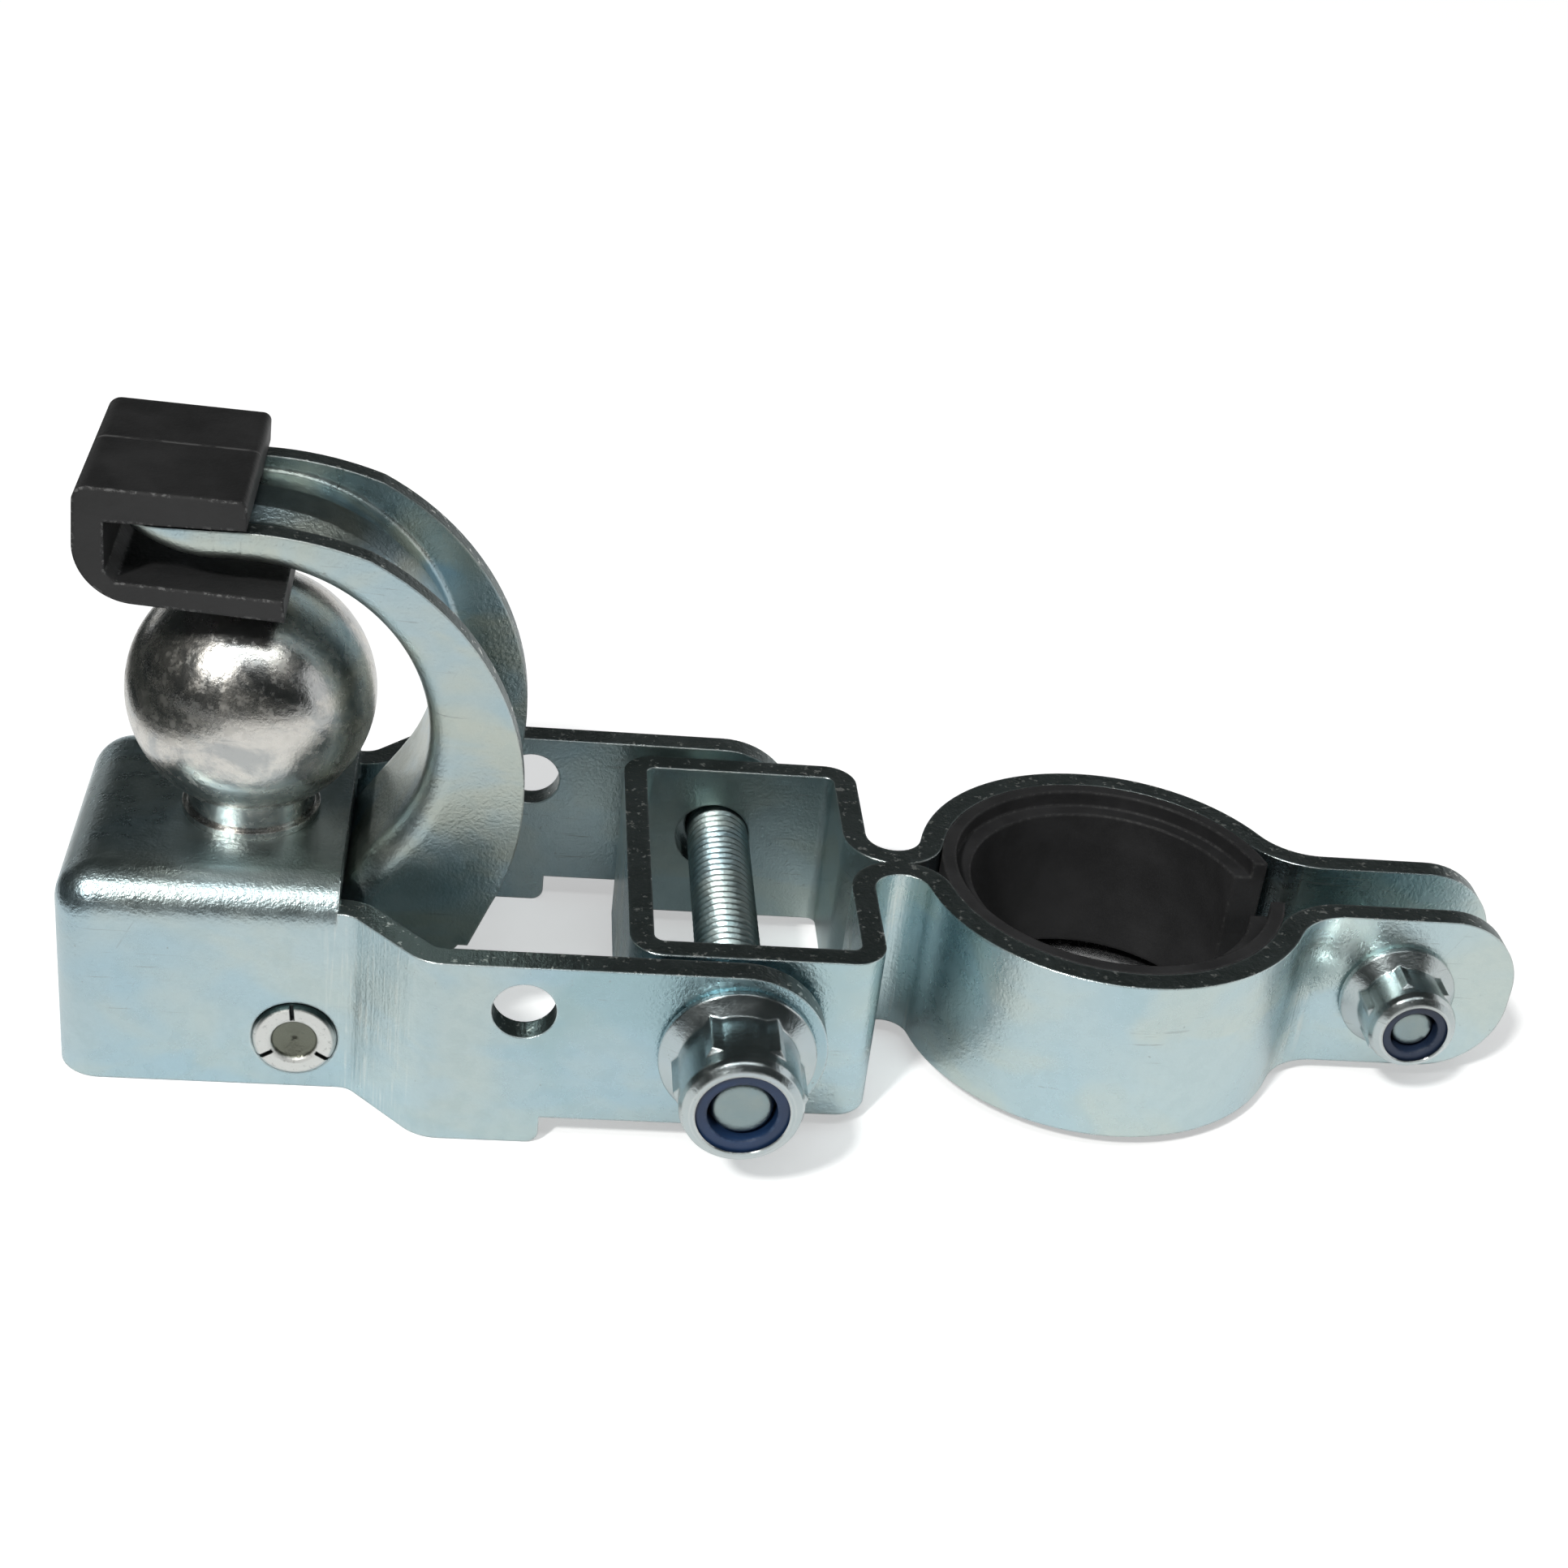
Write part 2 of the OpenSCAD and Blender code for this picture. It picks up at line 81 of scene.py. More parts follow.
class Graph:
    """A node tree that is filled a node at a time."""

    def __init__(self, tree: bpy.types.NodeTree) -> None:
        """Keeps the tree to fill.

        Args:
            tree: a material's, world's or group's node tree.
        """
        self.tree = tree

    def add(self, kind: str, sockets: dict | None = None, **settings) -> bpy.types.Node:
        """Adds a node and fills its sockets.

        Args:
            kind: the node's type name.
            sockets: input name or index to a value, or to an output socket to link from.
            settings: the node's own properties.

        Returns:
            The new node.
        """
        node = self.tree.nodes.new(kind)
        for name, value in settings.items():
            setattr(node, name, value)
        for name, value in (sockets or {}).items():
            if isinstance(value, Socket):
                self.tree.links.new(value, node.inputs[name])
            else:
                node.inputs[name].default_value = value
        return node

    def math(self, operation: str, *values: Socket | float) -> Socket:
        """Adds a Math node on the values and gives its result."""
        return self.add("ShaderNodeMath", dict(enumerate(values)), operation=operation).outputs[0]

    def times(self, first: Socket | float, second: Socket | float) -> Socket:
        """Multiplies two values."""
        return self.math("MULTIPLY", first, second)

    def plus(self, first: Socket | float, second: Socket | float) -> Socket:
        """Adds two values."""
        return self.math("ADD", first, second)

    def minus(self, first: Socket | float, second: Socket | float) -> Socket:
        """Subtracts the second value from the first."""
        return self.math("SUBTRACT", first, second)

    def step(self, value: Socket, low: float, high: float, start: float = 0.0, end: float = 1.0) -> Socket:
        """Maps a value smoothly from low..high to start..end.

        Args:
            value: the socket to map.
            low: the value that gives start.
            high: the value that gives end.
            start: the result at low.
            end: the result at high.

        Returns:
            The mapped value's socket.
        """
        sockets = {"Value": value, "From Min": low, "From Max": high, "To Min": start, "To Max": end}
        return self.add("ShaderNodeMapRange", sockets, interpolation_type="SMOOTHSTEP").outputs[0]

    def blend(self, mask: Socket | float, first: Socket | Colour, second: Socket | Colour) -> Socket:
        """Mixes two colours by a mask.

        Args:
            mask: 0 for the first colour, 1 for the second.
            first: the first colour.
            second: the second colour.

        Returns:
            The mixed colour's socket.
        """
        node = self.add("ShaderNodeMix", data_type="RGBA")
        for index, value in ((0, mask), (6, first), (7, second)):
            if isinstance(value, Socket):
                self.tree.links.new(value, node.inputs[index])
            else:
                node.inputs[index].default_value = (*value, 1.0) if index else value
        return node.outputs[2]

    def noise(
        self,
        vector: Socket,
        scale: Socket | float,
        detail: float = 4.0,
        rough: float = 0.55,
        bend: float = 0.0,
    ) -> Socket:
        """Adds a noise texture.

        Args:
            vector: the coordinates' socket.
            scale: features per metre.
            detail: number of finer layers.
            rough: weight of the finer layers.
            bend: distortion.

        Returns:
            The noise value's socket.
        """
        sockets = {"Vector": vector, "Scale": scale, "Detail": detail, "Roughness": rough, "Distortion": bend}
        return self.add("ShaderNodeTexNoise", sockets).outputs[0]

    def place(self) -> bpy.types.Node:
        """Adds the texture coordinates, of which only Object and Normal are used."""
        return self.add("ShaderNodeTexCoord")

    def stretch(self, vector: Socket, scale: Point) -> Socket:
        """Scales the coordinates unevenly, for grain that runs one way."""
        return self.add("ShaderNodeMapping", {"Vector": vector, "Scale": scale}).outputs[0]


def shader_group(
    name: str, inputs: dict[str, float], outputs: dict[str, str]
) -> tuple[Graph, bpy.types.Node, bpy.types.Node]:
    """Starts a shader node group.

    Args:
        name: the group's name.
        inputs: input names and their default values, all floats.
        outputs: output names and their socket types.

    Returns:
        The group's graph, its input node and its output node.
    """
    tree = bpy.data.node_groups.new(name, "ShaderNodeTree")
    for label, value in inputs.items():
        tree.interface.new_socket(label, in_out="INPUT", socket_type="NodeSocketFloat").default_value = value
    for label, kind in outputs.items():
        tree.interface.new_socket(label, in_out="OUTPUT", socket_type=kind)
    graph = Graph(tree)
    return graph, graph.add("NodeGroupInput"), graph.add("NodeGroupOutput")


def edge_break_group() -> bpy.types.NodeTree:
    """Builds the rounded-edge effect: a normal that rolls over sharp edges, and a mask of where it does.

    Returns:
        The group's node tree.
    """
    graph, start, end = shader_group(
        "edge_break", {"Radius": 0.3 * MM}, {"Normal": "NodeSocketVector", "Mask": "NodeSocketFloat"}
    )
    bevel = graph.add("ShaderNodeBevel", {"Radius": start.outputs["Radius"]}, samples=4)
    geometry = graph.add("ShaderNodeNewGeometry")
    dot = graph.add(
        "ShaderNodeVectorMath", {0: bevel.outputs[0], 1: geometry.outputs["Normal"]}, operation="DOT_PRODUCT"
    )
    mask = graph.step(dot.outputs["Value"], 0.999, 0.88)
    graph.tree.links.new(bevel.outputs[0], end.inputs["Normal"])
    graph.tree.links.new(mask, end.inputs["Mask"])
    return graph.tree


def plating_group() -> bpy.types.NodeTree:
    """Builds the clouded tint of zinc plate: patches of blue, cream and teal, and how matt each is.

    Returns:
        The group's node tree.
    """
    graph, start, end = shader_group(
        "plating",
        {"Cloud": 28.0, "Tint": 1.0, "Cream": 0.3, "Pale": 0.0},
        {"Colour": "NodeSocketColor", "Matt": "NodeSocketFloat"},
    )
    where = graph.place().outputs["Object"]
    cloud = graph.noise(where, start.outputs["Cloud"], 4.0, 0.5, 0.8)
    drift = graph.noise(graph.stretch(where, (1.0, 1.0, 1.7)), 62.0, 3.0, 0.5, 0.6)
    mottle = graph.noise(where, 420.0, 3.0, 0.6)
    blue = graph.blend(graph.step(cloud, 0.38, 0.64), (0.36, 0.5, 0.57), (0.44, 0.54, 0.565))
    creamy = graph.times(graph.step(drift, 0.42, 0.62), start.outputs["Cream"])
    cream = graph.blend(creamy, blue, (0.53, 0.55, 0.47))
    teal = graph.blend(graph.times(graph.step(cloud, 0.44, 0.3), 0.6), cream, (0.27, 0.41, 0.43))
    fine = graph.blend(graph.step(mottle, 0.6, 0.35, 0.0, 0.14), teal, (0.2, 0.3, 0.33))
    # Pale lifts the colour toward pale blue-grey, partly as painted sheen; on the strap most of it is painted
    # sheen.
    fine = graph.blend(start.outputs["Pale"], fine, (0.68, 0.8, 0.78))
    plain = graph.blend(start.outputs["Tint"], (0.5, 0.53, 0.53), fine)
    matt = graph.plus(graph.step(cloud, 0.3, 0.7, 0.0, 0.5), graph.step(mottle, 0.35, 0.7, 0.0, 0.5))
    graph.tree.links.new(plain, end.inputs["Colour"])
    graph.tree.links.new(matt, end.inputs["Matt"])
    return graph.tree


def peel_group() -> bpy.types.NodeTree:
    """Builds the fine orange peel and grain of plated sheet as a height.

    Returns:
        The group's node tree.
    """
    inputs = {"Grain": 2300.0, "Peel": 380.0, "Mix": 0.6}
    graph, start, end = shader_group("peel", inputs, {"Height": "NodeSocketFloat"})
    where = graph.place().outputs["Object"]
    grain = graph.noise(where, start.outputs["Grain"], 3.0, 0.6)
    peel = graph.noise(where, start.outputs["Peel"], 2.0, 0.5)
    keep = graph.minus(1.0, start.outputs["Mix"])
    height = graph.plus(graph.times(grain, start.outputs["Mix"]), graph.times(peel, keep))
    graph.tree.links.new(height, end.inputs["Height"])
    return graph.tree


def scratch_group() -> bpy.types.NodeTree:
    """Builds scattered scratches and pits from handling, as a mask.

    Returns:
        The group's node tree.
    """
    graph, start, end = shader_group("handling", {"Amount": 0.5}, {"Mask": "NodeSocketFloat"})
    where = graph.place().outputs["Object"]
    level = graph.noise(graph.stretch(where, (150.0, 150.0, 3000.0)), 1.0, 2.0, 0.5, 0.35)
    turned = {"Vector": where, "Angle": SCRATCH_SLANT}
    turn = graph.add("ShaderNodeVectorRotate", turned, rotation_type="Y_AXIS").outputs[0]
    slanted = graph.noise(graph.stretch(turn, (190.0, 190.0, 3200.0)), 1.0, 2.0, 0.5, 0.35)
    patch = graph.noise(where, 75.0, 3.0, 0.6)
    pits = graph.noise(where, 1500.0, 2.0, 0.5)
    lines = graph.math("MAXIMUM", graph.step(level, 0.67, 0.72), graph.step(slanted, 0.715, 0.75, 0.0, 0.7))
    fine = graph.times(lines, graph.step(patch, 0.5, 0.64))
    spots = graph.times(graph.step(pits, 0.71, 0.76), graph.step(patch, 0.46, 0.6))
    mask = graph.times(graph.math("MAXIMUM", fine, spots), start.outputs["Amount"])
    graph.tree.links.new(mask, end.inputs["Mask"])
    return graph.tree


def sheared_edge_group() -> bpy.types.NodeTree:
    """Builds the torn face that a press leaves on cut sheet: short lines across it, and a mask of bright
    flecks that are painted glints.

    Returns:
        The group's node tree.
    """
    graph, start, end = shader_group(
        "sheared_edge", {"Along": 700.0}, {"Height": "NodeSocketFloat", "GlintFleck": "NodeSocketFloat"}
    )
    where = graph.place().outputs["Object"]
    torn = graph.noise(where, 1300.0, 3.0, 0.7)
    lines = graph.noise(graph.stretch(where, (1.0, 0.25, 0.25)), start.outputs["Along"], 3.0, 0.7)
    glint_fleck = graph.noise(where, 950.0, 2.0, 0.7)
    height = graph.plus(torn, lines)
    graph.tree.links.new(height, end.inputs["Height"])
    graph.tree.links.new(graph.step(glint_fleck, 0.6, 0.7), end.inputs["GlintFleck"])
    return graph.tree


def drag_group() -> bpy.types.NodeTree:
    """Builds the fine upright lines that the bending tool drags down the sheet, between two places along X.

    Returns:
        The group's node tree.
    """
    inputs = {"From": 0.0, "To": 0.01, "Lines": 2600.0}
    outputs = {"Height": "NodeSocketFloat", "Mask": "NodeSocketFloat"}
    graph, start, end = shader_group("drag_lines", inputs, outputs)
    where = graph.place().outputs["Object"]
    along = graph.add("ShaderNodeSeparateXYZ", {0: where}).outputs["X"]
    middle = graph.times(graph.plus(start.outputs["From"], start.outputs["To"]), 0.5)
    half = graph.times(graph.minus(start.outputs["To"], start.outputs["From"]), 0.5)
    away = graph.math("DIVIDE", graph.math("ABSOLUTE", graph.minus(along, middle)), half)
    inside = graph.step(away, 1.0, 0.55)
    lines = graph.noise(graph.stretch(where, (1.0, 1.0, 0.03)), start.outputs["Lines"], 3.0, 0.6)
    breaks = graph.step(graph.noise(where, 240.0, 2.0, 0.6), 0.35, 0.6)
    mask = graph.times(inside, graph.times(graph.step(lines, 0.5, 0.62), breaks))
    graph.tree.links.new(graph.times(lines, inside), end.inputs["Height"])
    graph.tree.links.new(mask, end.inputs["Mask"])
    return graph.tree


def cut_mask(graph: Graph, cut: Cut) -> Socket | None:
    """Finds the sheared edges of a pressed piece from its shape.

    Args:
        graph: the material's graph.
        cut: which piece it is.

    Returns:
        A mask of the sheared edges, or None where there are none.
    """
    if cut is Cut.NONE:
        return None
    coords = graph.place()
    spot = graph.add("ShaderNodeSeparateXYZ", {0: coords.outputs["Object"]})
    facing = graph.add("ShaderNodeSeparateXYZ", {0: coords.outputs["Normal"]})
    if cut is Cut.STRAP:
        return graph.step(graph.math("ABSOLUTE", facing.outputs["Z"]), 0.6, 0.7)
    sideways = graph.math("ABSOLUTE", facing.outputs["Y"])
    upright = graph.step(sideways, 0.4, 0.3)
    if cut is Cut.BRACKET:
        arms = graph.times(upright, graph.math("GREATER_THAN", spot.outputs["X"], ARM_FROM_X))
        rim = graph.times(graph.math("LESS_THAN", spot.outputs["Z"], RIM_BELOW_Z), upright)
        return graph.math("MAXIMUM", arms, rim)
    flange = graph.math("GREATER_THAN", graph.math("ABSOLUTE", spot.outputs["Y"]), FLANGE_PAST_Y)
    ends = {0: coords.outputs["Object"], 1: LEVER_CENTRE}
    away = graph.add("ShaderNodeVectorMath", ends, operation="DISTANCE")
    outer = graph.math("GREATER_THAN", away.outputs["Value"], LEVER_OUTER_R)
    return graph.times(graph.times(flange, upright), outer)


@dataclass(frozen=True)
class Effects:
    """The shader groups that several finishes share."""

    edge: bpy.types.NodeTree = field(default_factory=edge_break_group)
    plating: bpy.types.NodeTree = field(default_factory=plating_group)
    peel: bpy.types.NodeTree = field(default_factory=peel_group)
    handling: bpy.types.NodeTree = field(default_factory=scratch_group)
    sheared: bpy.types.NodeTree = field(default_factory=sheared_edge_group)
    drag: bpy.types.NodeTree = field(default_factory=drag_group)


EFFECTS = Effects()


def use_group(graph: Graph, tree: bpy.types.NodeTree, **sockets: float) -> bpy.types.Node:
    """Places a shader group in a graph with its own values.

    Args:
        graph: where to place it.
        tree: the group.
        sockets: input values by name.

    Returns:
        The group node.
    """
    node = graph.add("ShaderNodeGroup", node_tree=tree)
    for name, value in sockets.items():
        node.inputs[name].default_value = value
    return node


def new_material(name: str) -> tuple[bpy.types.Material, Graph, bpy.types.Node]:
    """Starts a material.

    Args:
        name: the material's name.

    Returns:
        The material, its graph and its Principled BSDF.
    """
    material = bpy.data.materials.new(name)
    material.use_nodes = True
    graph = Graph(material.node_tree)
    return material, graph, material.node_tree.nodes["Principled BSDF"]


def bump(
    graph: Graph, height: Socket, strength: float, distance: float, normal: Socket | None = None
) -> Socket:
    """Adds a Bump node.

    Args:
        graph: the material's graph.
        height: the height's socket.
        strength: how strongly it shows.
        distance: the height of 1, in metres.
        normal: the normal to start from.

    Returns:
        The bumped normal's socket.
    """
    sockets = {"Height": height, "Strength": strength, "Distance": distance}
    if normal is not None:
        sockets["Normal"] = normal
    return graph.add("ShaderNodeBump", sockets).outputs[0]


@dataclass(frozen=True)
class PlatedSteel:
    """Bright zinc plate on pressed sheet, clouded, with orange peel, edges lightened by wear and a painted
    highlight, and torn cut edges with a painted dark reflection and painted glints.
    """

    name: str
    cut: Cut = Cut.NONE
    cloud: float = 28.0
    tint: float = 1.0
    cream: float = 0.3
    pale: float = 0.0
    dull: float = 0.0
    rough: float = 0.26
    spread: float = 0.12
    grain: float = 0.8
    wear: float = 0.6
    edge_radius: float = 0.4 * MM
    dragged: tuple[tuple[float, float], ...] = ()

    def material(self) -> bpy.types.Material:
        """Builds the material.

        Returns:
            The new material.
        """
        material, graph, shader = new_material(self.name)
        link = graph.tree.links.new
        tints = {"Cloud": self.cloud, "Tint": self.tint, "Cream": self.cream, "Pale": self.pale}
        plate = use_group(graph, EFFECTS.plating, **tints)
        peel = use_group(graph, EFFECTS.peel)
        edge = use_group(graph, EFFECTS.edge, Radius=self.edge_radius)
        marks = use_group(graph, EFFECTS.handling, Amount=self.wear)
        # Edges are lightened by wear and by a painted highlight along them.
        rubbed_and_highlit = graph.times(edge.outputs["Mask"], 0.5)
        colour = graph.blend(rubbed_and_highlit, plate.outputs["Colour"], (0.8, 0.81, 0.79))
        colour = graph.blend(marks.outputs["Mask"], colour, (0.32, 0.35, 0.35))
        # Dull darkens the colour; on the bolt threads it is painted shade that keeps their glints down.
        if self.dull:
            colour = graph.blend(self.dull, colour, (0.1, 0.13, 0.12))
        rough = graph.plus(graph.times(plate.outputs["Matt"], self.spread), self.rough)
        rough = graph.plus(rough, graph.times(marks.outputs["Mask"], 0.2))
        normal = bump(graph, peel.outputs["Height"], self.grain, 0.13 * MM, edge.outputs["Normal"])
        for low, high in self.dragged:
            drag = use_group(graph, EFFECTS.drag, From=low, To=high)
            normal = bump(graph, drag.outputs["Height"], 0.5, 0.12 * MM, normal)
            colour = graph.blend(graph.times(drag.outputs["Mask"], 0.35), colour, (0.72, 0.74, 0.7))
        mask = cut_mask(graph, self.cut)
        if mask is not None:
            torn = use_group(graph, EFFECTS.sheared)
            # The cut edges are painted near black as a painted reflection of the dark surroundings, and their
            # flecks are painted glints; the torn bumps are real.
            dark = graph.blend(torn.outputs["GlintFleck"], (0.16, 0.195, 0.195), (0.72, 0.75, 0.73))
            colour = graph.blend(mask, colour, dark)
            rough = graph.plus(rough, graph.times(mask, 0.12))
            height = graph.times(torn.outputs["Height"], mask)
            normal = bump(graph, height, 0.6, 0.18 * MM, normal)
        link(colour, shader.inputs["Base Color"])
        link(rough, shader.inputs["Roughness"])
        link(normal, shader.inputs["Normal"])
        shader.inputs["Metallic"].default_value = 1.0
        return material


@dataclass(frozen=True)
class CrimpedSteel:
    """A rivet's rolled end: a rough grey-white ring, an olive recess, and painted shade that makes its slits
    and its upper flank dark.
    """

    name: str
    centre: tuple[float, float] = (-96.4 * MM, -6.1 * MM)
    recess: float = 2.6 * MM
    rim: float = 4.3 * MM
    slits: tuple[float, ...] = (94.0, 212.0, 328.0)
    slit_width: float = 0.34 * MM
    soft: float = 0.1 * MM

    def material(self) -> bpy.types.Material:
        """Builds the material.

        Returns:
            The new material.
        """
        material, graph, shader = new_material(self.name)
        coords = graph.place()
        spot = graph.add("ShaderNodeSeparateXYZ", {0: coords.outputs["Object"]})
        upward = graph.add("ShaderNodeSeparateXYZ", {0: coords.outputs["Normal"]}).outputs["Z"]
        across = graph.minus(spot.outputs["X"], self.centre[0])
        upright = graph.minus(spot.outputs["Z"], self.centre[1])
        off = graph.math("SQRT", graph.plus(graph.times(across, across), graph.times(upright, upright)))
        recess = graph.step(off, self.recess + self.soft, self.recess - self.soft)
        outside = graph.step(off, self.rim - self.soft, self.rim + 2 * self.soft)
        flank = graph.times(outside, graph.step(upward, 0.1, 0.5))
        slits = [self._slit(graph, across, upright, math.radians(turn)) for turn in self.slits]
        slit = slits[0]
        for other in slits[1:]:
            slit = graph.math("MAXIMUM", slit, other)
        where = coords.outputs["Object"]
        chips = graph.noise(where, 1500.0, 3.0, 0.7)
        worn = graph.blend(graph.step(chips, 0.56, 0.7, 0.0, 0.5), (0.68, 0.68, 0.66), (0.3, 0.31, 0.3))
        colour = graph.blend(recess, worn, (0.15, 0.155, 0.125))
        # Painted shade: the slits and the ring's upward-facing outer flank are painted near black.
        colour = graph.blend(slit, colour, (0.04, 0.045, 0.045))
        colour = graph.blend(flank, colour, (0.035, 0.055, 0.055))
        edge = use_group(graph, EFFECTS.edge, Radius=0.3 * MM)
        graph.tree.links.new(colour, shader.inputs["Base Color"])
        graph.tree.links.new(graph.step(recess, 0.0, 1.0, 0.5, 0.3), shader.inputs["Roughness"])
        normal = bump(graph, graph.noise(where, 1100.0, 3.0, 0.65), 0.7, 0.16 * MM, edge.outputs["Normal"])
        graph.tree.links.new(normal, shader.inputs["Normal"])
        shader.inputs["Metallic"].default_value = 1.0
        return material

    def _slit(self, graph: Graph, across: Socket, upright: Socket, turn: float) -> Socket:
        """Marks the painted shade in one slit of the ring.

        Args:
            graph: the material's graph.
            across: the distance from the centre along X.
            upright: the distance from the centre along Z.
            turn: the slit's angle in radians.

        Returns:
            The slit's mask.
        """
        cosine, sine = math.cos(turn), math.sin(turn)
        along = graph.plus(graph.times(across, cosine), graph.times(upright, sine))
        aside = graph.minus(graph.times(across, sine), graph.times(upright, cosine))
        narrow = graph.step(graph.math("ABSOLUTE", aside), self.slit_width, 0.6 * self.slit_width)
        return graph.times(narrow, graph.step(along, self.recess + self.soft, self.recess + 4 * self.soft))


@dataclass(frozen=True)
class TurnedSteel:
    """Satin steel turned on a lathe, with fine rings and grain."""

    name: str
    colour: Colour = (0.62, 0.62, 0.61)
    rough: float = 0.24
    ring: float = 900.0
    axis: Point = (0.15, 0.15, 1.0)

    def material(self) -> bpy.types.Material:
        """Builds the material.

        Returns:
            The new material.
        """
        material, graph, shader = new_material(self.name)
        where = graph.place().outputs["Object"]
        rings = graph.noise(graph.stretch(where, self.axis), self.ring, 3.0, 0.6)
        grain = graph.noise(where, 1900.0, 3.0, 0.65)
        cloud = graph.noise(where, 110.0, 5.0, 0.65, 1.4)
        smear = graph.noise(where, 300.0, 4.0, 0.7, 0.8)
        speck = graph.step(graph.noise(where, 900.0, 3.0, 0.7), 0.5, 0.66)
        marks = use_group(graph, EFFECTS.handling, Amount=0.6)
        edge = use_group(graph, EFFECTS.edge, Radius=0.3 * MM)
        warm = graph.blend(graph.step(cloud, 0.4, 0.6), self.colour, (0.66, 0.64, 0.6))
        warm = graph.blend(graph.step(smear, 0.5, 0.34, 0.0, 0.35), warm, (0.32, 0.33, 0.33))
        colour = graph.blend(marks.outputs["Mask"], warm, (0.3, 0.31, 0.31))
        haze = graph.step(cloud, 0.3, 0.7, self.rough, self.rough + 0.12)
        rough = graph.plus(haze, graph.times(speck, 0.1))
        height = graph.plus(graph.times(rings, 0.5), grain)
        graph.tree.links.new(colour, shader.inputs["Base Color"])
        graph.tree.links.new(rough, shader.inputs["Roughness"])
        normal = bump(graph, height, 0.4, 0.07 * MM, edge.outputs["Normal"])
        graph.tree.links.new(normal, shader.inputs["Normal"])
        shader.inputs["Metallic"].default_value = 1.0
        return material


@dataclass(frozen=True)
class Moulding:
    """Moulded rubber, nylon or plastic with a fine grain, and edges lightened by wear and by painted glints.
    """

    name: str
    colour: Colour
    # Edge colour, for wear and painted glints.
    rubbed_and_highlit: Colour
    rough: float = 0.55
    grain: float = 1800.0
    depth: float = 0.5
    edge_radius: float = 0.6 * MM
    seam: bool = False

    def material(self) -> bpy.types.Material:
        """Builds the material.

        Returns:
            The new material.
        """
        material, graph, shader = new_material(self.name)
        where = graph.place().outputs["Object"]
        grain = graph.noise(where, self.grain, 3.0, 0.6)
        dust = graph.noise(where, 120.0, 5.0, 0.6, 0.3)
        speckle = graph.step(graph.noise(where, 1400.0, 2.0, 0.7), 0.5, 0.62)
        edge = use_group(graph, EFFECTS.edge, Radius=self.edge_radius)
        # Edges are lightened by wear and by painted glints.
        rub_and_glint = graph.times(graph.step(edge.outputs["Mask"], 0.25, 0.9), speckle)
        dusty = tuple(1.5 * part + 0.003 for part in self.colour)
        soft = graph.blend(graph.step(dust, 0.35, 0.7), self.colour, dusty)
        height = grain
        if self.seam:
            across = graph.add("ShaderNodeSeparateXYZ", {0: where}).outputs["Y"]
            off = graph.math("ABSOLUTE", graph.minus(across, SEAM_Y))
            line = graph.step(off, SEAM_WIDE, SEAM_NARROW)
            broken = graph.times(line, graph.step(graph.noise(where, 500.0, 2.0, 0.6), 0.38, 0.55))
            rub_and_glint = graph.math("MAXIMUM", rub_and_glint, graph.times(broken, 0.35))
            height = graph.plus(grain, graph.times(line, 1.5))
        colour = graph.blend(rub_and_glint, soft, self.rubbed_and_highlit)
        graph.tree.links.new(colour, shader.inputs["Base Color"])
        rough = graph.step(dust, 0.3, 0.75, self.rough, self.rough + 0.15)
        graph.tree.links.new(rough, shader.inputs["Roughness"])
        normal = bump(graph, height, self.depth, 0.08 * MM, edge.outputs["Normal"])
        graph.tree.links.new(normal, shader.inputs["Normal"])
        return material


def dress(node: str, material: bpy.types.Material) -> None:
    """Gives a CAD node its finish.

    Args:
        node: the node's name.
        material: its finish.
    """
    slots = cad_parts[node].data.materials
    for index in range(len(slots)):
        slots[index] = material
    if not len(slots):
        slots.append(material)
    LOG.info("dressed %s in %s", node, material.name)


